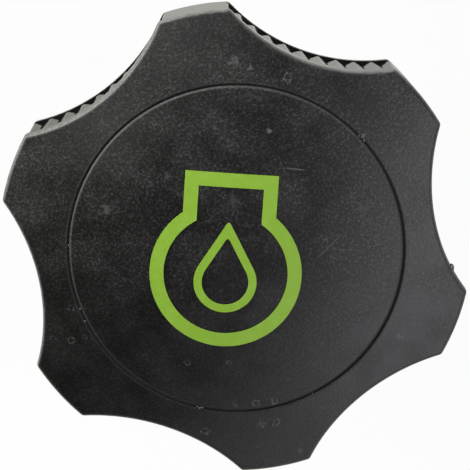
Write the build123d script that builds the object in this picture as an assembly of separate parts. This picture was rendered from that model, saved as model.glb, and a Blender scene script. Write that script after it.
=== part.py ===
from build123d import *
from math import asin, atan2, cos, degrees, pi, radians, sin, sqrt, tan
import os

# Screw-in oil filler cap: a six-lobed star grip with serrated scallops and a domed crown, a printed
# disc set into the crown, and a threaded plug with its seal under the grip.
# Millimetres and degrees. Z is up along the screw axis, and Z = 0 is the open lower end of the plug.
# A lobe points along +Y, and a scallop lies on +X.

# Star grip, seen from above
lobe_count = 6
lobe_radius = 38.1
lobe_width = 11.4
scallop_depth = 6.0
lobe_corner_radius = 1.0

# Crown of the grip, one shallow ball shared by the shell and the disc
grip_height = 17.0  # flange top to the rim of the disc opening
crown_radius = 130.0
rim_width = 5.2  # disc opening to the floor of a scallop
rim_edge_radius = 0.8

# Skirt under the rim, with V-grooves in its scallops
skirt_inset = 0.4  # behind the rim
crest_setback = 0.1  # scallops only, behind the rest of the skirt
grooves_per_scallop = 10
groove_depth = 0.4
crest_width = 0.5  # land left between two grooves
groove_headroom = 4.5  # rim of the disc opening down to the closed tops of the grooves

# Shell walls
grip_wall = 2.4  # left behind the grooves
recess_floor = 2.4

# Centre disc
recess_depth = 2.6
disc_wall = 2.2
disc_foot_width = 2.0
disc_land_height = 1.2
disc_press_clearance = 0.05
disc_groove_width = 0.3
disc_edge_radius = 0.5
opening_chamfer = 0.15

# Printed symbol on the disc
symbol_turn = -13.9
symbol_offset_x = -1.47
symbol_offset_y = -3.22
ring_outer_radius = 12.06
outline_stroke = 2.23
neck_width = 14.7
neck_top = 16.2  # ring centre to the top of the neck
drop_radius = 5.0
drop_half_angle = 30.0
drop_below_ring_centre = 1.3
drop_stroke = 1.3
drop_tip_radius = 0.35
print_thickness = 0.1

# Flange that closes the grip underneath, with the rim that locates the shell
flange_thickness = 1.8
flange_chamfer = 0.8
locating_rim_height = 2.5
locating_rim_wall = 1.6
locating_clearance = 0.15

# Plug that screws into the filler neck
spigot_radius = 24.0
spigot_length = 5.0
spigot_chamfer = 0.5
thread_clearance = 0.2  # thread crests below the spigot
thread_depth = 1.5
thread_pitch = 4.0
thread_turns = 2.25
thread_crest_width = 1.0
thread_flank_angle = 30.0
thread_root_embed = 0.4
thread_lead_in = 3.0  # plug end to the middle of the first turn
thread_runout = 1.5  # end of the thread to the spigot
plug_wall = 3.0
plug_end_chamfer = 0.8

# Rubber seal under the flange
seal_thickness = 3.0
seal_width = 5.0
seal_groove_depth = 0.6
seal_clearance = 0.1
seal_edge_radius = 0.6

# Levels along the screw axis
thread_start_z = thread_lead_in
thread_end_z = thread_start_z + thread_turns * thread_pitch
spigot_bottom_z = thread_end_z + thread_crest_width / 2 + thread_runout
spigot_top_z = spigot_bottom_z + spigot_length
flange_bottom_z = spigot_top_z + seal_thickness
flange_top_z = flange_bottom_z + flange_thickness
rim_z = flange_top_z + grip_height
groove_top_z = rim_z - groove_headroom
recess_z = rim_z - recess_depth
cavity_top_z = recess_z - recess_floor

# Radii
waist_radius = lobe_radius - scallop_depth
opening_radius = waist_radius - rim_width
plug_core_radius = spigot_radius - thread_clearance - thread_depth
plug_bore_radius = plug_core_radius - plug_wall
seal_seat_radius = spigot_radius - seal_groove_depth
crown_centre_z = rim_z - sqrt(crown_radius**2 - opening_radius**2)
crown_top_z = crown_centre_z + crown_radius

# Scallop arc through the two lobe corners beside it and its own deepest point
lobe_half_angle = asin(lobe_width / 2 / lobe_radius)
corner_angle = pi / lobe_count - lobe_half_angle
corner_x = lobe_radius * cos(corner_angle)
corner_y = lobe_radius * sin(corner_angle)
scallop_centre = (lobe_radius**2 - waist_radius**2) / (2 * (corner_x - waist_radius))
scallop_radius = scallop_centre - waist_radius
scallop_half_angle = atan2(corner_y, scallop_centre - corner_x)

# Grooves along the scallop, and the wall behind them
groove_pitch_angle = 2 * scallop_half_angle / grooves_per_scallop
crest_arc_radius = scallop_radius + skirt_inset + crest_setback
groove_half_width = (groove_pitch_angle * crest_arc_radius - crest_width) / 2
wall_inset = skirt_inset + crest_setback + groove_depth + grip_wall


def plain_star(inset, scallop_setback=0):
    """Star outline with plain lobe corners, moved inwards by inset, its scallops by the setback as well."""
    scallop = Circle(scallop_radius + inset + scallop_setback)
    return Circle(lobe_radius - inset) - PolarLocations(scallop_centre, lobe_count) * scallop


def star_face(inset, scallop_setback=0):
    """Star outline with rounded lobe corners."""
    return fillet(plain_star(inset, scallop_setback).vertices(), lobe_corner_radius)


def groove_notch():
    """V-groove with its mouth at the origin and its valley on +X, drawn on past the mouth."""
    valley = (groove_depth, 0)
    outside = (-groove_depth, 2 * groove_half_width)
    return make_face(Polyline(valley, outside, (outside[0], -outside[1]), close=True))


def serrated_face():
    """Outline of the skirt, with the V-grooves in its scallops."""
    first_angle = 180 - degrees(scallop_half_angle - groove_pitch_angle / 2)
    sweep_angle = degrees(2 * scallop_half_angle)
    grooves = PolarLocations(crest_arc_radius, grooves_per_scallop, first_angle, sweep_angle)
    scallops = PolarLocations(scallop_centre, lobe_count)
    star = star_face(skirt_inset, crest_setback)
    return star - [scallop * groove * groove_notch() for scallop in scallops for groove in grooves]


def level(face, bottom_z, top_z):
    """Prism of a face in the XY plane, between two levels."""
    return Pos(0, 0, bottom_z) * extrude(face, amount=top_z - bottom_z)


def crown_ball(radius):
    """Ball whose top is the crown, with its poles at the sides, away from the crown."""
    return Pos(0, 0, crown_centre_z) * Rot(X=90) * Sphere(radius)


def make_grip_shell():
    """Star shell, open underneath, with a round recess for the disc on top."""
    rim = level(star_face(0), groove_top_z, crown_top_z) & crown_ball(crown_radius)
    crown_face = rim.faces().filter_by(GeomType.SPHERE)[0]
    rim = fillet(crown_face.outer_wire().edges(), rim_edge_radius)
    skirt = level(serrated_face(), flange_top_z, groove_top_z)
    cavity = level(plain_star(wall_inset), flange_top_z, cavity_top_z)
    recess = level(Circle(opening_radius), recess_z, crown_top_z)
    bevel_top_radius = opening_radius + 2 * opening_chamfer
    bevel = Pos(0, 0, rim_z) * Cone(opening_radius, bevel_top_radius, 2 * opening_chamfer)
    return rim + skirt - cavity - recess - bevel


def make_centre_disc():
    """Domed insert that stands on a ring foot in the recess, with a step that leaves the fine ring gap."""
    upper_radius = opening_radius - disc_groove_width
    dome = level(Circle(upper_radius), recess_z, crown_top_z) & crown_ball(crown_radius)
    crown_face = dome.faces().filter_by(GeomType.SPHERE)[0]
    dome = fillet(crown_face.outer_wire().edges(), disc_edge_radius)
    land_radius = opening_radius - disc_press_clearance
    land = level(Circle(land_radius), recess_z, recess_z + disc_land_height)
    hollow = level(Circle(land_radius - disc_foot_width), recess_z, crown_top_z)
    hollow &= crown_ball(crown_radius - disc_wall)
    return dome + land - hollow


def printed_film(sketch):
    """Film of ink on the crown, with the outline of a sketch that is drawn around the ring's centre."""
    placed = Rot(Z=symbol_turn) * Pos(symbol_offset_x, symbol_offset_y) * sketch
    column = level(placed, rim_z, crown_top_z + print_thickness)
    return (column & crown_ball(crown_radius + print_thickness)) - crown_ball(crown_radius)


def keyhole(radius, width, top):
    """Disc with a straight neck standing on it."""
    return Circle(radius) + Pos(0, top / 2) * Rectangle(width, top)


def make_engine_outline_print():
    """Ring with a square neck, drawn as one even stroke."""
    outer = keyhole(ring_outer_radius, neck_width, neck_top)
    inner_radius = ring_outer_radius - outline_stroke
    inner = keyhole(inner_radius, neck_width - 2 * outline_stroke, neck_top - outline_stroke)
    return printed_film(outer - inner)


def teardrop(radius):
    """Drop with straight flanks tangent to its round lower part."""
    half_angle = radians(drop_half_angle)
    tip = Vector(0, radius / sin(half_angle))
    right = Vector(radius * cos(half_angle), radius * sin(half_angle))
    left = Vector(-right.X, right.Y)
    drop = Circle(radius) + make_face(Polyline(tip, right, (0, 0), left, close=True))
    return fillet(drop.vertices().sort_by(Axis.Y)[-1], drop_tip_radius)


def make_oil_drop_print():
    """Outline of the drop inside the ring."""
    drop = teardrop(drop_radius) - teardrop(drop_radius - drop_stroke)
    return printed_film(Pos(0, -drop_below_ring_centre) * drop)


def make_thread():
    """One helical ridge of trapezoid section, rooted in the core of the plug."""
    root_radius = plug_core_radius - thread_root_embed
    crest_radius = plug_core_radius + thread_depth
    rise = (crest_radius - root_radius) * tan(radians(thread_flank_angle))
    crest_half = thread_crest_width / 2
    root_half = crest_half + rise
    helix = Helix(thread_pitch, thread_turns * thread_pitch, root_radius, center=(0, 0, thread_start_z))
    section = Polyline(
        (root_radius, -root_half),
        (crest_radius, -crest_half),
        (crest_radius, crest_half),
        (root_radius, root_half),
        close=True,
    )
    profile = Pos(0, 0, thread_start_z) * Rot(X=90) * make_face(section)
    return sweep(profile, path=helix, is_frenet=True)


def make_plug_body():
    """Star flange with its locating rim, and the hollow threaded plug under it."""
    flange = level(star_face(skirt_inset), flange_bottom_z, flange_top_z)
    flange = chamfer(flange.faces().sort_by(Axis.Z)[0].outer_wire().edges(), flange_chamfer)
    rim_inset = wall_inset + locating_clearance
    rim_top_z = flange_top_z + locating_rim_height
    rim = level(star_face(rim_inset), flange_top_z, rim_top_z)
    rim -= level(star_face(rim_inset + locating_rim_wall), flange_top_z, rim_top_z)
    core = level(Circle(plug_core_radius), 0, flange_bottom_z)
    core = chamfer(core.faces().sort_by(Axis.Z)[0].edges(), plug_end_chamfer)
    spigot = level(Circle(spigot_radius), spigot_bottom_z, spigot_top_z)
    spigot = chamfer(spigot.faces().sort_by(Axis.Z)[0].edges(), spigot_chamfer)
    seal_seat = level(Circle(seal_seat_radius), spigot_top_z, flange_bottom_z)
    bore = level(Circle(plug_bore_radius), 0, flange_bottom_z)
    return flange + rim + core + spigot + seal_seat + make_thread() - bore


def make_sealing_ring():
    """Flat rubber ring that sits in its groove under the flange."""
    inner_radius = seal_seat_radius + seal_clearance
    section = Circle(inner_radius + seal_width) - Circle(inner_radius)
    ring = level(section, spigot_top_z, flange_bottom_z)
    lower_face = ring.faces().sort_by(Axis.Z)[0]
    return fillet(lower_face.outer_wire().edges(), seal_edge_radius)


nodes = {
    "grip_shell": make_grip_shell(),
    "centre_disc": make_centre_disc(),
    "engine_outline_print": make_engine_outline_print(),
    "oil_drop_print": make_oil_drop_print(),
    "plug_body": make_plug_body(),
    "sealing_ring": make_sealing_ring(),
}

os.makedirs("parts", exist_ok=True)
for name, solid in nodes.items():
    export_step(solid, f"parts/{name}.step")
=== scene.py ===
"""Looks of a screw-in oil filler cap: its finishes, small surface pieces, studio light and camera.

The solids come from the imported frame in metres, with Z up along the screw axis, a lobe of the grip on +Y
and a scallop on +X. Patterns and places on the crown are written in millimetres from the screw axis.
"""

import logging
from dataclasses import dataclass
from enum import Enum
from math import asin, cos, hypot, pi, radians, sin, sqrt
from typing import Any, Callable, Mapping, Optional, Sequence, Union

import bpy
from mathutils import Euler, Matrix, Vector


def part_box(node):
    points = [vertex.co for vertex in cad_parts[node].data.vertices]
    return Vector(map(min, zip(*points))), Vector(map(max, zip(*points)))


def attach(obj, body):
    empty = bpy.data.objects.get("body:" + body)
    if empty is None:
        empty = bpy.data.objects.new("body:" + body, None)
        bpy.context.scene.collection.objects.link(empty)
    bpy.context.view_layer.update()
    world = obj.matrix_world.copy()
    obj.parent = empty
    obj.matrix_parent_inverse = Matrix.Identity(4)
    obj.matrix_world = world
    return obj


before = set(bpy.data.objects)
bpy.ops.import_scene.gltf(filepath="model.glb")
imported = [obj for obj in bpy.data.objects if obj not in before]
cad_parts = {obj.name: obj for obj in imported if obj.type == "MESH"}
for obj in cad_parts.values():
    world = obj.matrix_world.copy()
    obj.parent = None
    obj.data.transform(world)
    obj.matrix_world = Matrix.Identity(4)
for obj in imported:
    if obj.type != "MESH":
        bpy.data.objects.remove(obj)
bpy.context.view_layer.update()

MM = 0.001
ROOT_BODY = "root"
CAMERA_RAY = "Is Camera Ray"
LOG = logging.getLogger("oil_filler_cap")

Colour = tuple[float, float, float]
Span = tuple[float, float]
Operand = Union["Value", float]
Key = Union[str, int]
Settings = Mapping[str, Any]
Sockets = Mapping[Key, Any]

WHITE: Colour = (1.0, 1.0, 1.0)


class Slot(Enum):
    """Material slots of the record."""

    GRIP = "grip_plastic"
    DISC = "disc_plastic"


class Node(Enum):
    """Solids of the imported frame."""

    GRIP_SHELL = "grip_shell"
    CENTRE_DISC = "centre_disc"
    ENGINE_OUTLINE = "engine_outline_print"
    OIL_DROP = "oil_drop_print"
    PLUG_BODY = "plug_body"
    SEALING_RING = "sealing_ring"


class Value:
    """A number that varies over a surface: one socket, with arithmetic that adds Math nodes."""

    def __init__(self, graph: "Graph", socket: bpy.types.NodeSocket) -> None:
        """Wrap an output socket of a graph."""
        self.graph = graph
        self.socket = socket

    def math(self, operation: str, *operands: Operand) -> "Value":
        """Add one Math node.

        Args:
            operation: Name of the node's operation.
            operands: Its inputs in order, values or plain numbers.

        Returns:
            The node's result.
        """
        return self.graph.value("Math", {"operation": operation}, dict(enumerate(operands)))

    def __add__(self, other: Operand) -> "Value":
        """Sum."""
        return self.math("ADD", self, other)

    def __radd__(self, other: Operand) -> "Value":
        """Sum with a plain number on the left."""
        return self.math("ADD", other, self)

    def __sub__(self, other: Operand) -> "Value":
        """Difference."""
        return self.math("SUBTRACT", self, other)

    def __rsub__(self, other: Operand) -> "Value":
        """Difference from a plain number."""
        return self.math("SUBTRACT", other, self)

    def __mul__(self, other: Operand) -> "Value":
        """Product."""
        return self.math("MULTIPLY", self, other)

    def __rmul__(self, other: Operand) -> "Value":
        """Product with a plain number on the left."""
        return self.math("MULTIPLY", other, self)

    def __truediv__(self, other: Operand) -> "Value":
        """Quotient."""
        return self.math("DIVIDE", self, other)

    def __rtruediv__(self, other: Operand) -> "Value":
        """Quotient of a plain number by this."""
        return self.math("DIVIDE", other, self)

    def __abs__(self) -> "Value":
        """Size without sign."""
        return self.math("ABSOLUTE", self)

    def __lt__(self, other: Operand) -> "Value":
        """1 where this is less than other, and 0 elsewhere."""
        return self.math("LESS_THAN", self, other)

    def root(self) -> "Value":
        """Square root."""
        return self.math("SQRT", self)

    def sine(self) -> "Value":
        """Sine of an angle in radians."""
        return self.math("SINE", self)

    def cosine(self) -> "Value":
        """Cosine of an angle in radians."""
        return self.math("COSINE", self)

    def nearest_whole(self) -> "Value":
        """The nearest whole number."""
        return self.math("ROUND", self)

    def least(self, other: Operand) -> "Value":
        """The lesser of two values."""
        return self.math("MINIMUM", self, other)

    def most(self, other: Operand) -> "Value":
        """The greater of two values."""
        return self.math("MAXIMUM", self, other)

    def rise(self, low: Operand, high: Operand) -> "Value":
        """Smooth step up: 0 below low, and 1 above high."""
        sockets: Sockets = {"Value": self, "From Min": low, "From Max": high}
        return self.graph.value("MapRange", {"interpolation_type": "SMOOTHSTEP"}, sockets)

    def fall(self, low: Operand, high: Operand) -> "Value":
        """Smooth step down: 1 below low, and 0 above high."""
        return 1 - self.rise(low, high)


class Graph:
    """Node tree of a material or the world, with one method that adds any node."""

    def __init__(self, tree: bpy.types.NodeTree) -> None:
        """Start with an empty tree."""
        self.tree = tree
        tree.nodes.clear()

    def node(
        self, kind: str, settings: Optional[Settings] = None, sockets: Optional[Sockets] = None
    ) -> bpy.types.Node:
        """Add a node.

        Args:
            kind: Node type, without the words that all shader node types start with.
            settings: Properties, which are set first.
            sockets: Values or links of its inputs, by name or number.

        Returns:
            The new node.
        """
        node = self.tree.nodes.new("ShaderNode" + kind)
        for name, setting in (settings or {}).items():
            setattr(node, name, setting)
        for key, source in (sockets or {}).items():
            self.feed(self.find_input(node, key), source)
        return node

    def value(self, kind: str, settings: Settings, sockets: Sockets, output: Key = 0) -> Value:
        """Add a node and wrap one of its outputs, by name or number."""
        return Value(self, self.node(kind, settings, sockets).outputs[output])

    def feed(self, socket: bpy.types.NodeSocket, source: Any) -> None:
        """Link or set an input.

        Args:
            socket: The input.
            source: A value or another socket to link, or a number, vector or colour to set.
        """
        if isinstance(source, Value):
            source = source.socket
        if isinstance(source, bpy.types.NodeSocket):
            self.tree.links.new(source, socket)
        elif socket.type == "RGBA":
            socket.default_value = (*source, 1.0)
        else:
            socket.default_value = source

    @staticmethod
    def find_input(node: bpy.types.Node, key: Key) -> bpy.types.NodeSocket:
        """Find an input of a node.

        Args:
            node: The node.
            key: Number of the input, or its name, of which the first one in use is taken.

        Returns:
            The input's socket.
        """
        if isinstance(key, int):
            return node.inputs[key]
        return next(socket for socket in node.inputs if socket.name == key and socket.enabled)

    def mix_colours(self, share: Operand, first: Any, second: Any) -> bpy.types.NodeSocket:
        """Blend two colours.

        Args:
            share: Part of the second colour.
            first: Colour or link.
            second: Colour or link.

        Returns:
            Socket of the blended colour.
        """
        sockets: Sockets = {"Factor": share, "A": first, "B": second}
        mix = self.node("Mix", {"data_type": "RGBA"}, sockets)
        return next(socket for socket in mix.outputs if socket.enabled)


class SurfaceGraph(Graph):
    """Material of one finish, with patterns on Object coordinates in millimetres."""

    def __init__(self, name: str) -> None:
        """Start a material and its coordinates.

        Args:
            name: Name of the material.
        """
        self.material = bpy.data.materials.new(name)
        self.material.use_nodes = True
        super().__init__(self.material.node_tree)
        object_place = self.node("TexCoord").outputs["Object"]
        scaled = self.node("VectorMath", {"operation": "SCALE"}, {"Vector": object_place, "Scale": 1 / MM})
        self.place = scaled.outputs["Vector"]
        axes = self.node("SeparateXYZ", None, {"Vector": self.place})
        self.x, self.y = (Value(self, axes.outputs[axis]) for axis in "XY")
        flat = self.node("CombineXYZ", None, {"X": self.x, "Y": self.y})
        self.flat_place = flat.outputs["Vector"]

    def noise(self, size: float, detail: float = 2.0) -> Value:
        """Cloudy pattern around 0.5, by the length of its main features in mm and its finer layers."""
        return self.value("TexNoise", {}, {"Vector": self.place, "Scale": 1 / size, "Detail": detail})

    def wander(self, size: float) -> Value:
        """Cloudy pattern around 0, which pushes the edges of marks in and out."""
        return self.noise(size) - 0.5

    def specks(self, spacing: float, share: float, radius: float) -> Value:
        """Scattered specks.

        Args:
            spacing: Size of the cells that may each hold one speck, in mm.
            share: Part of the cells that hold one.
            radius: Radius of a middling speck, in mm.

        Returns:
            A mask from 0, which differs from speck to speck.
        """
        cells = self.node("TexVoronoi", None, {"Vector": self.place, "Scale": 1 / spacing})
        chance = self.node("SeparateColor", None, {"Color": cells.outputs["Color"]})
        chosen = Value(self, chance.outputs["Red"]) < share
        size = radius * (Value(self, chance.outputs["Green"]) + 0.5)
        distance = Value(self, cells.outputs["Distance"]) * spacing
        return distance.fall(size * 0.4, size) * chosen * (Value(self, chance.outputs["Blue"]) + 0.25)

    def upward(self, low: float = 0.15, high: float = 0.50) -> Value:
        """Mask of the faces that look up: 0 where the normal's height is below low, and 1 above high."""
        normal = self.node("NewGeometry").outputs["Normal"]
        return self.value("SeparateXYZ", {}, {"Vector": normal}, "Z").rise(low, high)

    def distance_to(self, x: float, y: float) -> Value:
        """Distance from a vertical line through a place on the crown, in mm."""
        sockets: Sockets = {0: self.flat_place, 1: (x, y, 0.0)}
        return self.value("VectorMath", {"operation": "DISTANCE"}, sockets, "Value")

    def radius(self) -> Value:
        """Distance from the screw axis, in mm."""
        return self.distance_to(0.0, 0.0)

    def finish(self, sockets: Sockets, height: Value, relief: float) -> bpy.types.Material:
        """Close the material with its shader.

        Args:
            sockets: Values or links of the shader's inputs.
            height: Pattern that stands up from the surface.
            relief: How far it stands up, in mm.

        Returns:
            The finished material.
        """
        bump = self.node("Bump", None, {"Height": height, "Distance": relief * MM})
        shader = self.node("BsdfPrincipled", None, {**sockets, "Normal": bump.outputs["Normal"]})
        self.node("OutputMaterial", None, {"Surface": shader.outputs["BSDF"]})
        return self.material


@dataclass(frozen=True)
class StainRing:
    """Dried drop on the crown: a pale broken rim around a bare middle."""

    x: float
    y: float
    radius: float
    strength: float = 1.0
    rim: float = 0.22
    raggedness: float = 2.4
    break_size: float = 0.45
    break_levels: Span = (0.35, 0.55)

    def mask(self, graph: SurfaceGraph, wander: Value) -> Value:
        """Mark where the stain shows.

        Args:
            graph: Material under way.
            wander: Pattern that pushes the rim in and out.

        Returns:
            A mask from 0 to the stain's strength.
        """
        offset = graph.distance_to(self.x, self.y) + wander * self.radius * self.raggedness - self.radius
        breaks = graph.noise(self.break_size, 1.0).rise(*self.break_levels)
        return abs(offset).fall(0.0, self.rim) * breaks * self.strength


@dataclass(frozen=True)
class PalePatch:
    """Pale patch on the crown, with a ragged edge: dust spots, and once a broad painted sheen."""

    x: float
    y: float
    radius: float
    strength: float = 1.0
    raggedness: float = 3.5
    most_ragged: float = 4.0

    def mask(self, graph: SurfaceGraph, wander: Value) -> Value:
        """Mark where the patch shows.

        Args:
            graph: Material under way.
            wander: Pattern that pushes the edge in and out.

        Returns:
            A mask from 0 to the patch's strength.
        """
        push = min(self.raggedness * self.radius, self.most_ragged)
        distance = graph.distance_to(self.x, self.y) + wander * push
        return distance.fall(self.radius * 0.2, self.radius) * self.strength


@dataclass(frozen=True)
class Scratch:
    """Straight fine scratch on the crown, from one place to another."""

    start: tuple[float, float]
    end: tuple[float, float]
    width: float = 0.13
    strength: float = 1.0
    fade: float = 0.3

    def mask(self, graph: SurfaceGraph, wander: Value) -> Value:
        """Mark where the scratch shows.

        Args:
            graph: Material under way.
            wander: Pattern that bends the scratch a little.

        Returns:
            A mask from 0 to the scratch's strength, which fades out at both ends.
        """
        run = (self.end[0] - self.start[0], self.end[1] - self.start[1])
        length = hypot(*run)
        east, north = run[0] / length, run[1] / length
        from_x = graph.x - self.start[0]
        from_y = graph.y - self.start[1]
        along = from_x * east + from_y * north
        across = from_y * east - from_x * north + wander * self.width
        ends = along.rise(0.0, length * self.fade) * along.fall(length * (1 - self.fade), length)
        return abs(across).fall(0.0, self.width) * ends * self.strength


Mark = Union[StainRing, PalePatch, Scratch]


@dataclass(frozen=True)
class StarOutline:
    """Outline of the grip from above, in mm: the lobes' circle with a round scallop between each two."""

    lobe_radius: float = 38.1
    lobe_width: float = 11.4
    scallop_depth: float = 6.0
    lobe_count: int = 6

    @property
    def pitch(self) -> float:
        """Angle from one scallop to the next."""
        return 2 * pi / self.lobe_count

    @property
    def waist(self) -> float:
        """Radius at the deepest point of a scallop."""
        return self.lobe_radius - self.scallop_depth

    @property
    def scallop_centre(self) -> float:
        """Distance of a scallop's own centre from the screw axis.

        Returns:
            The distance at which the scallop meets the lobes' corners.
        """
        corner_angle = self.pitch / 2 - asin(self.lobe_width / 2 / self.lobe_radius)
        corner_x = self.lobe_radius * cos(corner_angle)
        return (self.lobe_radius**2 - self.waist**2) / (2 * (corner_x - self.waist))

    @property
    def scallop_radius(self) -> float:
        """Radius of a scallop's own circle."""
        return self.scallop_centre - self.waist

    def edge_radius(self, angle: float) -> float:
        """Distance of the edge of a scallop from the screw axis.

        Args:
            angle: Angle from the scallop's middle, in radians.

        Returns:
            The distance.
        """
        centre = self.scallop_centre
        return centre * cos(angle) - sqrt(self.scallop_radius**2 - (centre * sin(angle)) ** 2)

    def inset(self, graph: SurfaceGraph) -> Value:
        """Distance inwards from the outline.

        Args:
            graph: Material under way.

        Returns:
            The distance in mm.
        """
        radius = graph.radius()
        turn = graph.y.math("ARCTAN2", graph.y, graph.x)
        folded = turn - (turn / self.pitch).nearest_whole() * self.pitch
        along = radius * folded.cosine() - self.scallop_centre
        across = radius * folded.sine()
        from_scallop = (along * along + across * across).root() - self.scallop_radius
        return from_scallop.least(self.lobe_radius - radius)


@dataclass(frozen=True)
class MouldedPlastic:
    """Black plastic from a finely eroded mould: dusty where it faces up, and smoother on its walls.

    The dust is scaled down to a quarter towards -Y, and a little towards -X. An outline or a round edge,
    where one is given, is pale from wear and from a painted highlight. The top is duller along the gap around
    the disc.
    """

    name: str
    tone: Colour = (0.0036, 0.0036, 0.0033)
    dust_and_sheen_tone: Colour = (0.151, 0.152, 0.152)
    film_dust: float = 0.018
    grain_size: float = 0.37
    grain_levels: Span = (0.42, 0.80)
    grain_dust: float = 0.30
    grain_relief: float = 0.028
    speck_spacing: float = 0.38
    speck_share: float = 0.40
    speck_radius: float = 0.16
    speck_dust: float = 0.18
    scuff_size: float = 6.0
    scuff_levels: Span = (0.35, 0.70)
    scuff_dust: float = 0.6
    unscuffed_dust: float = 0.65
    scuff_roughness: float = 0.10
    # Dust scaled from full towards +Y down to its least towards -Y, a little skewed towards -X.
    falloff_reach: Span = (-24.0, 12.0)
    falloff_skew: float = 0.35
    falloff_least: float = 0.25
    wander_size: float = 0.7
    mark_grain: float = 1.5
    mark_evenness: float = 0.5
    top_roughness: float = 0.40
    wall_roughness: float = 0.08
    # Pale strip along the edges: partly wear, partly a painted edge highlight.
    wear_sheen_width: float = 0.50
    edge_wear_and_sheen: float = 1.05
    wear_sheen_facing: Span = (0.02, 0.22)
    wear_sheen_patch_size: float = 1.2
    wear_sheen_levels: Span = (0.3, 0.7)
    wear_sheen_patchiness: float = 0.4
    gap_radius: float = 26.7
    gap_reach: Span = (0.385, 0.55)
    gap_roughness: float = 0.25
    marks: tuple[Mark, ...] = ()
    # Broad pale patch of painted sheen, added over the dust.
    painted_sheen: Optional[PalePatch] = None
    outline: Optional[StarOutline] = None
    # Pale ring along the disc's round edge: wear, and painted highlight.
    round_edge: Optional[float] = None
    round_edge_wear_and_sheen: float = 0.33

    def material(self) -> bpy.types.Material:
        """Build the material.

        Returns:
            The finished material.
        """
        graph = SurfaceGraph(self.name)
        upward = graph.upward()
        grain = graph.noise(self.grain_size)
        scuffs = graph.noise(self.scuff_size, 3.0).rise(*self.scuff_levels)
        falloff = (graph.y + graph.x * self.falloff_skew).rise(*self.falloff_reach)
        falloff = falloff * (1 - self.falloff_least) + self.falloff_least
        dust_and_sheen = self.loose_dust(graph, grain) * (self.unscuffed_dust + self.scuff_dust * scuffs) * falloff
        dust_and_sheen = self.add_marks(graph, dust_and_sheen, grain) * upward
        dust_and_sheen = self.add_wear_and_sheen(graph, dust_and_sheen, upward * falloff)
        colour = graph.mix_colours(dust_and_sheen.least(1.0), self.tone, self.dust_and_sheen_tone)
        roughness = self.roughness(graph, scuffs, upward)
        return graph.finish({"Base Color": colour, "Roughness": roughness}, grain * upward, self.grain_relief)

    def loose_dust(self, graph: SurfaceGraph, grain: Value) -> Value:
        """Share of dust in the grain of the mould and in specks, over a thin film."""
        specks = graph.specks(self.speck_spacing, self.speck_share, self.speck_radius)
        return grain.rise(*self.grain_levels) * self.grain_dust + specks * self.speck_dust + self.film_dust

    def add_marks(self, graph: SurfaceGraph, dust_and_sheen: Value, grain: Value) -> Value:
        """Add the painted sheen and the single marks.

        Args:
            graph: Material under way.
            dust_and_sheen: Share of dust so far.
            grain: Grain of the mould, which breaks the marks up.

        Returns:
            The share of dust with them, and with the painted sheen.
        """
        wander = graph.wander(self.wander_size)
        # Painted sheen: the broad pale patch adds to the dust.
        if self.painted_sheen is not None:
            dust_and_sheen = dust_and_sheen + self.painted_sheen.mask(graph, wander)
        cover = grain * self.mark_grain + self.mark_evenness
        for mark in self.marks:
            dust_and_sheen = dust_and_sheen.most(mark.mask(graph, wander) * cover)
        return dust_and_sheen

    def add_wear_and_sheen(self, graph: SurfaceGraph, dust_and_sheen: Value, upward_falloff: Value) -> Value:
        """Add the pale edges: wear, and painted highlight.

        Args:
            graph: Material under way.
            dust_and_sheen: Share of dust and painted sheen so far.
            upward_falloff: Mask of the faces that look up, scaled down towards -Y, from 0 to 1.

        Returns:
            The share of dust and painted sheen, with the wear and the painted highlight.
        """
        if self.outline is not None:
            # Pale strip along the outline: wear, and painted highlight.
            patches = graph.noise(self.wear_sheen_patch_size).rise(*self.wear_sheen_levels)
            patches = patches * self.wear_sheen_patchiness + (1 - self.wear_sheen_patchiness)
            wear_and_sheen = self.outline.inset(graph).fall(0.0, self.wear_sheen_width) * graph.upward(*self.wear_sheen_facing)
            dust_and_sheen = dust_and_sheen + wear_and_sheen * patches * self.edge_wear_and_sheen
        if self.round_edge is not None:
            # Pale ring along the round edge: wear, and painted highlight.
            wear_and_sheen = graph.radius().rise(self.round_edge - self.wear_sheen_width, self.round_edge)
            dust_and_sheen = dust_and_sheen + wear_and_sheen * upward_falloff * self.round_edge_wear_and_sheen
        return dust_and_sheen

    def roughness(self, graph: SurfaceGraph, scuffs: Value, upward: Value) -> Value:
        """Roughness of the walls, the top and the dull strip along the gap.

        Args:
            graph: Material under way.
            scuffs: Mask of the scuffed parts.
            upward: Mask of the faces that look up.

        Returns:
            The roughness.
        """
        from_gap = abs(graph.radius() - self.gap_radius)
        dull = from_gap.fall(*self.gap_reach) * self.gap_roughness
        extra = self.top_roughness - self.wall_roughness
        return upward * (extra + (scuffs - 0.5) * self.scuff_roughness + dull) + self.wall_roughness


@dataclass(frozen=True)
class PrintInk:
    """Opaque ink, laid on in one pass, a little uneven."""

    name: str
    tone: Colour
    thin_tone: Colour
    patch_size: float = 1.6
    patch_levels: Span = (0.35, 0.75)
    patch_thinness: float = 0.55
    patch_roughness: float = 0.08
    grain_size: float = 0.28
    grain_levels: Span = (0.5, 0.8)
    grain_thinness: float = 0.35
    grain_relief: float = 0.010
    roughness: float = 0.42

    def material(self) -> bpy.types.Material:
        """Build the material.

        Returns:
            The finished material.
        """
        graph = SurfaceGraph(self.name)
        patches = graph.noise(self.patch_size, 3.0).rise(*self.patch_levels)
        grain = graph.noise(self.grain_size)
        thin = patches * self.patch_thinness + grain.rise(*self.grain_levels) * self.grain_thinness
        colour = graph.mix_colours(thin, self.tone, self.thin_tone)
        roughness = self.roughness + patches * self.patch_roughness
        return graph.finish({"Base Color": colour, "Roughness": roughness}, grain, self.grain_relief)


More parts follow.
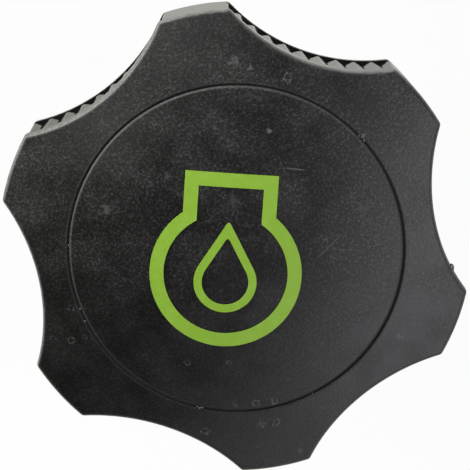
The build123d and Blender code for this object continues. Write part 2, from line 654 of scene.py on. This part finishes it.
@dataclass(frozen=True)
class NitrileRubber:
    """Matt black rubber with a faint pale bloom."""

    name: str
    tone: Colour = (0.010, 0.010, 0.010)
    bloom_tone: Colour = (0.060, 0.060, 0.058)
    bloom_size: float = 3.0
    bloom_levels: Span = (0.4, 0.8)
    bloom_share: float = 0.4
    bloom_roughness: float = 0.12
    grain_size: float = 0.22
    grain_levels: Span = (0.5, 0.8)
    grain_share: float = 0.2
    grain_relief: float = 0.030
    roughness: float = 0.72

    def material(self) -> bpy.types.Material:
        """Build the material.

        Returns:
            The finished material.
        """
        graph = SurfaceGraph(self.name)
        bloom = graph.noise(self.bloom_size, 4.0).rise(*self.bloom_levels)
        grain = graph.noise(self.grain_size, 3.0)
        pale = bloom * self.bloom_share + grain.rise(*self.grain_levels) * self.grain_share
        colour = graph.mix_colours(pale, self.tone, self.bloom_tone)
        roughness = self.roughness + bloom * self.bloom_roughness
        return graph.finish({"Base Color": colour, "Roughness": roughness}, grain, self.grain_relief)


@dataclass(frozen=True)
class StudioPaper:
    """White paper that painted shade greys towards +X, with a soft shadow. To the camera it is nearly plain
    white.
    """

    name: str = "studio_paper"
    tone: Colour = (0.86, 0.865, 0.82)
    # Painted shade: the paper's colour greys towards +X.
    painted_shade_tone: Colour = (0.52, 0.52, 0.50)
    painted_shade_from: float = 15.0
    painted_shade_to: float = 45.0
    white_share: float = 0.95

    def material(self) -> bpy.types.Material:
        """Build the material.

        Returns:
            The finished material.
        """
        material = bpy.data.materials.new(self.name)
        material.use_nodes = True
        graph = Graph(material.node_tree)
        seen = Value(graph, graph.node("LightPath").outputs[CAMERA_RAY])
        axes = graph.node("SeparateXYZ", None, {"Vector": graph.node("TexCoord").outputs["Object"]})
        # Painted shade: the paper's colour greys towards +X.
        painted_shade = Value(graph, axes.outputs["X"]).rise(self.painted_shade_from * MM, self.painted_shade_to * MM)
        colour = graph.mix_colours(painted_shade, self.tone, self.painted_shade_tone)
        paper = graph.node("BsdfDiffuse", None, {"Color": colour})
        glow = graph.node("Emission", None, {"Color": WHITE, "Strength": 1.0})
        shaders: Sockets = {0: seen * self.white_share, 1: paper.outputs[0], 2: glow.outputs[0]}
        mix = graph.node("MixShader", None, shaders)
        graph.node("OutputMaterial", None, {"Surface": mix.outputs[0]})
        return material


# Broad pale patch on the upper left of the crown: painted sheen, standing in for light the crown reflects
# there.
CROWN_PAINTED_SHEEN = PalePatch(-17.5, 22.0, 10.0, 0.075)
CROWN_MARKS: tuple[Mark, ...] = (
    StainRing(-27.7, -4.7, 0.42, 0.30),
    StainRing(-28.8, -10.1, 0.50, 0.32),
    StainRing(-31.7, -9.5, 0.48, 0.18),
    StainRing(-26.6, -9.8, 0.35, 0.16),
    StainRing(-10.3, -29.1, 0.55, 0.45),
    StainRing(1.8, -25.7, 0.50, 0.50),
    StainRing(-1.2, -25.4, 0.50, 0.45),
    StainRing(1.4, -29.5, 0.60, 0.45),
    StainRing(-0.9, -29.5, 0.45, 0.38),
    StainRing(12.7, 25.9, 0.70, 0.48),
    StainRing(29.8, 15.7, 0.60, 0.20),
    StainRing(-10.8, -16.5, 0.40, 0.32),
    StainRing(-4.3, -17.6, 0.35, 0.24),
    PalePatch(-18.7, 10.6, 1.1, 0.30),
    PalePatch(-8.4, 14.2, 0.7, 0.24),
    PalePatch(-7.0, 11.0, 0.9, 0.18),
    PalePatch(-3.6, 10.1, 0.8, 0.14),
    PalePatch(1.1, 8.5, 1.5, 0.18),
    PalePatch(5.1, 29.7, 1.2, 0.36),
    PalePatch(7.4, 28.5, 0.5, 0.37),
    PalePatch(8.4, 18.4, 0.6, 0.55),
    PalePatch(0.2, 20.4, 0.5, 0.24),
    PalePatch(6.1, 24.4, 1.3, 0.12),
    PalePatch(22.8, 14.6, 0.6, 0.40),
    PalePatch(20.9, 3.3, 1.1, 0.15),
    PalePatch(23.5, -19.0, 0.7, 0.18),
    PalePatch(-4.6, -25.0, 0.8, 0.20),
    PalePatch(4.2, -35.5, 0.6, 0.20),
    Scratch((9.6, 12.4), (13.4, 11.2), 0.17, 0.60),
    Scratch((11.6, -3.5), (17.8, 0.7), strength=0.40),
    Scratch((15.2, -7.8), (19.0, -8.9), strength=0.14),
    Scratch((-2.4, -29.7), (0.1, -29.2), strength=0.28),
    Scratch((-3.0, -33.6), (-0.8, -32.8), strength=0.12),
)


class Bench:
    """Hand tools for modelling: selecting, shaping and settling meshes."""

    @staticmethod
    def clear() -> None:
        """Leave edit mode and deselect everything."""
        if bpy.context.object is not None and bpy.context.object.mode != "OBJECT":
            bpy.ops.object.mode_set(mode="OBJECT")
        bpy.ops.object.select_all(action="DESELECT")

    @staticmethod
    def pick(piece: bpy.types.Object) -> None:
        """Make one object the only selected and active one.

        Args:
            piece: The object.
        """
        Bench.clear()
        piece.select_set(True)
        bpy.context.view_layer.objects.active = piece

    @staticmethod
    def select_vertices(piece: bpy.types.Object, test: Callable[[Vector], bool]) -> None:
        """Select some of the vertices of a piece that is in edit mode.

        Args:
            piece: The piece.
            test: Says of a vertex's place whether it is selected.
        """
        bpy.ops.mesh.select_all(action="DESELECT")
        bpy.ops.object.mode_set(mode="OBJECT")
        for vertex in piece.data.vertices:
            vertex.select = test(vertex.co)
        bpy.ops.object.mode_set(mode="EDIT")

    @staticmethod
    def settle(piece: bpy.types.Object) -> None:
        """Move the object's place, turn and scale into its mesh."""
        Bench.pick(piece)
        bpy.ops.object.transform_apply(location=True, rotation=True, scale=True)

    @staticmethod
    def join(pieces: Sequence[bpy.types.Object], name: str) -> bpy.types.Object:
        """Join objects into the first one.

        Args:
            pieces: Objects to join.
            name: Name of the joined piece.

        Returns:
            The joined piece.
        """
        Bench.pick(pieces[0])
        for piece in pieces[1:]:
            piece.select_set(True)
        bpy.ops.object.join()
        pieces[0].name = name
        return pieces[0]


def dress(node: Node, material: bpy.types.Material) -> None:
    """Give a solid of the frame its finish.

    Args:
        node: The solid.
        material: Its finish.
    """
    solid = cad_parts[node.value]
    for material_slot in solid.material_slots:
        material_slot.material = material
    LOG.info("dressed %s in %s", node.value, material.name)


def mount(piece: bpy.types.Object, material: bpy.types.Material) -> None:
    """Finish a new piece.

    Args:
        piece: Mesh at its place.
        material: Its finish.
    """
    piece.data.materials.clear()
    piece.data.materials.append(material)
    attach(piece, ROOT_BODY)
    LOG.info("added %s, %d faces", piece.name, len(piece.data.polygons))


@dataclass
class Crown:
    """Domed top that the grip and the disc share, in mm."""

    ball_radius: float = 130.0
    top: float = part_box(Node.CENTRE_DISC.value)[1].z / MM

    def height(self, x: float, y: float) -> float:
        """Height of the crown at a place."""
        return self.top - self.ball_radius + sqrt(self.ball_radius**2 - x * x - y * y)


@dataclass
class Grip:
    """Star-shaped shell with the little tab of flash on the edge of one scallop.

    The tab starts as a ball of 1 mm. Its front is lifted and its tip pinched, and it is then brought to
    its reach, length and depth.
    """

    outline: StarOutline
    crown: Crown
    flash_angle: float = -15.6
    flash_reach: float = 0.42
    flash_length: float = 0.55
    flash_depth: float = 0.9
    flash_front: float = 0.2
    flash_lift: float = 0.35
    flash_tip: float = 0.6
    flash_pinch: tuple[float, float, float] = (1.0, 0.7, 0.5)
    flash_unevenness: float = 0.08

    def dress(self) -> None:
        """Give the shell its finish and model the flash."""
        # The grip's outline is pale from wear and from a painted highlight.
        plastic = MouldedPlastic(
            # The crown carries the painted sheen patch.
            "grip_black_plastic", marks=CROWN_MARKS, painted_sheen=CROWN_PAINTED_SHEEN, outline=self.outline
        )
        material = plastic.material()
        dress(Node.GRIP_SHELL, material)
        mount(self.model_flash(), material)

    def model_flash(self) -> bpy.types.Object:
        """Model the tab of flash.

        Returns:
            The tab, at its place on the edge.
        """
        angle = radians(self.flash_angle)
        radius = self.outline.edge_radius(angle)
        x, y = radius * cos(angle), radius * sin(angle)
        Bench.clear()
        bpy.ops.mesh.primitive_ico_sphere_add(subdivisions=3, radius=MM, location=(0, 0, 0))
        tab = bpy.context.object
        tab.name = "flash_tab"
        bpy.ops.object.mode_set(mode="EDIT")
        Bench.select_vertices(tab, lambda co: co.x > self.flash_front * MM)
        bpy.ops.transform.translate(value=(0, 0, self.flash_lift * MM))
        Bench.select_vertices(tab, lambda co: co.x > self.flash_tip * MM)
        bpy.ops.transform.resize(value=self.flash_pinch)
        bpy.ops.mesh.select_all(action="SELECT")
        bpy.ops.transform.vertex_random(offset=self.flash_unevenness * MM, seed=3)
        bpy.ops.transform.resize(value=(self.flash_reach, self.flash_length, self.flash_depth))
        bpy.ops.object.mode_set(mode="OBJECT")
        bpy.ops.object.shade_smooth()
        tab.rotation_euler = Euler((0, 0, angle))
        tab.location = Vector((x, y, self.crown.height(x, y) - self.flash_depth)) * MM
        Bench.settle(tab)
        return tab


@dataclass(frozen=True)
class Crumb:
    """Bit of grit: its angle around the ring gap, distance from the screw axis, and size in mm."""

    angle: float
    radius: float
    size: float


@dataclass
class Disc:
    """Printed insert in the middle of the crown, with a pale edge, and silt and grit in the gap around it.

    The pale edge is partly wear and partly a painted highlight. A crumb of grit starts as an uneven ball
    of 1 mm with a flatter foot, and is then brought to its size.
    """

    crown: Crown
    edge_radius: float = 26.6
    silt_inside: float = 26.45
    silt_outside: float = 27.0
    silt_depth: float = 0.30
    silt_thickness: float = 0.30
    silt_sides: int = 256
    crumb_unevenness: float = 0.28
    crumb_foot: float = -0.3
    crumb_foot_size: tuple[float, float, float] = (0.8, 0.8, 0.6)
    crumb_width: float = 0.7
    crumb_height: float = 0.6
    crumb_sink: float = 0.5
    crumb_turns: int = 3
    crumbs: tuple[Crumb, ...] = (
        Crumb(167.9, 26.6, 0.16),
        Crumb(-169.3, 26.7, 0.18),
        Crumb(-164.6, 26.8, 0.16),
        Crumb(-113.6, 26.7, 0.18),
        Crumb(-112.6, 26.8, 0.25),
        Crumb(-111.8, 26.7, 0.20),
        Crumb(33.8, 26.8, 0.18),
        Crumb(32.9, 26.9, 0.14),
        Crumb(31.4, 26.9, 0.22),
        Crumb(-72.6, 26.8, 0.15),
    )
    silt: MouldedPlastic = MouldedPlastic(
        "dark_silt",
        tone=(0.0095, 0.0095, 0.0092),
        film_dust=0.0,
        grain_dust=0.06,
        speck_dust=0.0,
        top_roughness=0.9,
    )
    grit: MouldedPlastic = MouldedPlastic(
        "pale_grit", tone=(0.10, 0.10, 0.105), dust_and_sheen_tone=(0.3, 0.3, 0.3), grain_dust=0.6
    )

    def dress(self) -> None:
        """Give the disc its finish, and fill in the silt and the grit."""
        # The disc's round edge is pale from wear and from a painted highlight.
        plastic = MouldedPlastic(
            # The crown carries the painted sheen patch.
            "disc_black_plastic", marks=CROWN_MARKS, painted_sheen=CROWN_PAINTED_SHEEN, round_edge=self.edge_radius
        )
        dress(Node.CENTRE_DISC, plastic.material())
        mount(self.model_silt(), self.silt.material())
        mount(self.model_grit(), self.grit.material())

    def model_silt(self) -> bpy.types.Object:
        """Model the fine dirt that has settled in the gap.

        Returns:
            A flat ring, a little below the crown.
        """
        middle = (self.silt_inside + self.silt_outside) / 2
        place = (0, 0, (self.crown.height(middle, 0.0) - self.silt_depth) * MM)
        growth = self.silt_outside / self.silt_inside
        Bench.clear()
        bpy.ops.mesh.primitive_circle_add(
            vertices=self.silt_sides, radius=self.silt_inside * MM, location=place
        )
        ring = bpy.context.object
        ring.name = "gap_silt"
        bpy.ops.object.mode_set(mode="EDIT")
        bpy.ops.mesh.select_all(action="SELECT")
        bpy.ops.mesh.extrude_edges_move()
        bpy.ops.transform.resize(value=(growth, growth, 1.0))
        bpy.ops.mesh.select_all(action="SELECT")
        bpy.ops.mesh.extrude_region_move(TRANSFORM_OT_translate={"value": (0, 0, -self.silt_thickness * MM)})
        bpy.ops.mesh.select_all(action="SELECT")
        bpy.ops.mesh.normals_make_consistent(inside=False)
        bpy.ops.object.mode_set(mode="OBJECT")
        bpy.ops.object.shade_smooth_by_angle(angle=radians(30))
        Bench.settle(ring)
        return ring

    def model_grit(self) -> bpy.types.Object:
        """Model one crumb and set copies of it around the gap.

        Returns:
            All the crumbs as one piece.
        """
        Bench.clear()
        bpy.ops.mesh.primitive_ico_sphere_add(subdivisions=2, radius=MM, location=(0, 0, 0))
        pattern = bpy.context.object
        bpy.ops.object.mode_set(mode="EDIT")
        bpy.ops.transform.vertex_random(offset=self.crumb_unevenness * MM, seed=11)
        Bench.select_vertices(pattern, lambda co: co.z < self.crumb_foot * MM)
        bpy.ops.transform.resize(value=self.crumb_foot_size)
        bpy.ops.object.mode_set(mode="OBJECT")
        crumbs = [self.set_crumb(pattern, crumb) for crumb in self.crumbs]
        bpy.data.objects.remove(pattern)
        return Bench.join(crumbs, "groove_grit")

    def set_crumb(self, pattern: bpy.types.Object, crumb: Crumb) -> bpy.types.Object:
        """Copy the crumb to one place in the gap.

        Args:
            pattern: The crumb that was modelled.
            crumb: Place and size of the copy.

        Returns:
            The copy, with its own mesh.
        """
        copy = pattern.copy()
        copy.data = pattern.data.copy()
        bpy.context.collection.objects.link(copy)
        angle = radians(crumb.angle)
        x, y = crumb.radius * cos(angle), crumb.radius * sin(angle)
        copy.location = Vector((x, y, self.crown.height(x, y) - self.crumb_sink * crumb.size)) * MM
        copy.rotation_euler = Euler((0, 0, self.crumb_turns * angle))
        copy.scale = (crumb.size, crumb.size * self.crumb_width, crumb.size * self.crumb_height)
        Bench.settle(copy)
        return copy


@dataclass
class OilSymbol:
    """Green print of the engine outline and the oil drop."""

    ink: PrintInk = PrintInk("green_ink", (0.247, 0.448, 0.033), (0.286, 0.495, 0.057))

    def dress(self) -> None:
        """Give both prints the ink."""
        material = self.ink.material()
        for node in (Node.ENGINE_OUTLINE, Node.OIL_DROP):
            dress(node, material)


@dataclass
class Plug:
    """Flange and threaded plug with its rubber seal."""

    # Almost no dust on the plug: clean plastic, and partly painted shade that keeps the flange between the
    # grip's teeth as dark as the shade there.
    plastic: MouldedPlastic = MouldedPlastic(
        "plug_black_plastic", film_dust=0.0, grain_dust=0.02, speck_dust=0.0, scuff_size=8.0
    )
    rubber: NitrileRubber = NitrileRubber("seal_black_rubber")

    def dress(self) -> None:
        """Give the plug and the seal their finishes."""
        dress(Node.PLUG_BODY, self.plastic.material())
        dress(Node.SEALING_RING, self.rubber.material())


@dataclass
class SoftBox:
    """Soft light that faces the cap: angles in degrees, sizes in metres and power in watts."""

    name: str
    azimuth: float
    elevation: float
    power: float
    width: float = 0.5
    height: float = 0.5
    tint: Colour = WHITE
    distance: float = 1.0

    def build(self, turn: float, target: Vector) -> None:
        """Set up the light.

        Args:
            turn: Direction of azimuth 0 in the part's frame, in degrees.
            target: Point that it faces.
        """
        lamp = bpy.data.lights.new(self.name, "AREA")
        lamp.shape = "RECTANGLE"
        lamp.size = self.width
        lamp.size_y = self.height
        lamp.energy = self.power
        lamp.color = self.tint
        box = bpy.data.objects.new(self.name, lamp)
        bpy.context.scene.collection.objects.link(box)
        azimuth, elevation = radians(self.azimuth + turn), radians(self.elevation)
        level = cos(elevation)
        direction = Vector((level * cos(azimuth), level * sin(azimuth), sin(elevation)))
        box.location = target + direction * self.distance
        box.rotation_euler = direction.to_track_quat("Z", "Y").to_euler()
        box.visible_camera = False


@dataclass
class Studio:
    """Paper floor, soft light and the camera at the photograph's angle: angles in degrees, places in mm."""

    crown: Crown
    frame_turn: float = -10.1
    tilt: float = 13.23
    lean: float = 91.1
    camera_distance: float = 313.0
    aim_below_top: float = 2.81
    aim_right: float = -0.1687
    aim_up: float = 2.5525
    lens: float = 150.66
    sensor: float = 36.0
    floor_size: float = 6000.0
    horizon_level: float = 0.30
    zenith_level: float = 0.01
    dimming_reach: Span = (0.05, 0.6)
    soft_boxes: tuple[SoftBox, ...] = (
        SoftBox("window_box", 140.0, 12.0, 19.5, 1.6, 0.42, (1.0, 1.0, 0.93)),
        SoftBox("right_box", 0.0, 47.0, 2.7),
        SoftBox("lower_right_box", 315.0, 46.0, 2.05, tint=(0.98, 0.98, 1.05)),
        SoftBox("lower_box", 280.0, 33.0, 0.85),
        SoftBox("lower_edge_box", 312.0, 13.0, 1.3, 1.4, 0.4),
        SoftBox("left_box", 180.0, 35.0, 0.4),
        SoftBox("upper_left_box", 128.0, 50.0, 1.8),
        SoftBox("upper_right_box", 70.0, 40.0, 0.7),
    )

    @property
    def aim(self) -> Vector:
        """Point on the screw axis that the lights and the camera face, in mm."""
        return Vector((0, 0, self.crown.top - self.aim_below_top))

    def build(self) -> None:
        """Set up the whole studio."""
        self.build_floor()
        self.build_world()
        target = self.aim * MM
        for soft_box in self.soft_boxes:
            soft_box.build(self.frame_turn, target)
        self.build_camera()
        bpy.context.scene.view_settings.view_transform = "Standard"

    def build_floor(self) -> None:
        """Lay the paper under the cap."""
        Bench.clear()
        bpy.ops.mesh.primitive_plane_add(size=self.floor_size * MM, location=(0, 0, 0))
        floor = bpy.context.object
        floor.name = "paper_floor"
        floor.data.materials.append(StudioPaper().material())
        LOG.info("laid %s", floor.name)

    def build_world(self) -> None:
        """Light the room: brighter around the cap, dimmer overhead, and plain white to the camera."""
        world = bpy.data.worlds.new("studio_room")
        bpy.context.scene.world = world
        world.use_nodes = True
        graph = Graph(world.node_tree)
        direction = graph.node("TexCoord").outputs["Generated"]
        height = graph.value("SeparateXYZ", {}, {"Vector": direction}, "Z")
        dimming = self.zenith_level - self.horizon_level
        level = height.rise(*self.dimming_reach) * dimming + self.horizon_level
        seen = Value(graph, graph.node("LightPath").outputs[CAMERA_RAY])
        shader = graph.node("Background", None, {"Color": WHITE, "Strength": level.most(seen)})
        graph.node("OutputWorld", None, {"Surface": shader.outputs[0]})

    def build_camera(self) -> None:
        """Place the camera as it stood for the photograph."""
        camera = bpy.data.cameras.new("photo_camera")
        camera.sensor_width = self.sensor
        camera.lens = self.lens
        holder = bpy.data.objects.new("photo_camera", camera)
        bpy.context.scene.collection.objects.link(holder)
        lean = radians(self.lean)
        turn = Matrix.Rotation(radians(self.frame_turn) + lean, 4, "Z")
        turn = turn @ Matrix.Rotation(radians(self.tilt), 4, "Y") @ Matrix.Rotation(-lean, 4, "Z")
        offset = Vector((self.aim_right, self.aim_up, self.camera_distance))
        place = self.aim + turn.to_3x3() @ offset
        holder.matrix_world = Matrix.Translation(place * MM) @ turn
        bpy.context.scene.camera = holder


def main() -> None:
    """Dress the solids, model the small pieces and set up the studio."""
    logging.basicConfig(level=logging.INFO, format="%(name)s: %(message)s")
    crown = Crown()
    for assembly in (Grip(StarOutline(), crown), Disc(crown), OilSymbol(), Plug()):
        assembly.dress()
    Studio(crown).build()


if __name__ == "__main__":
    main()
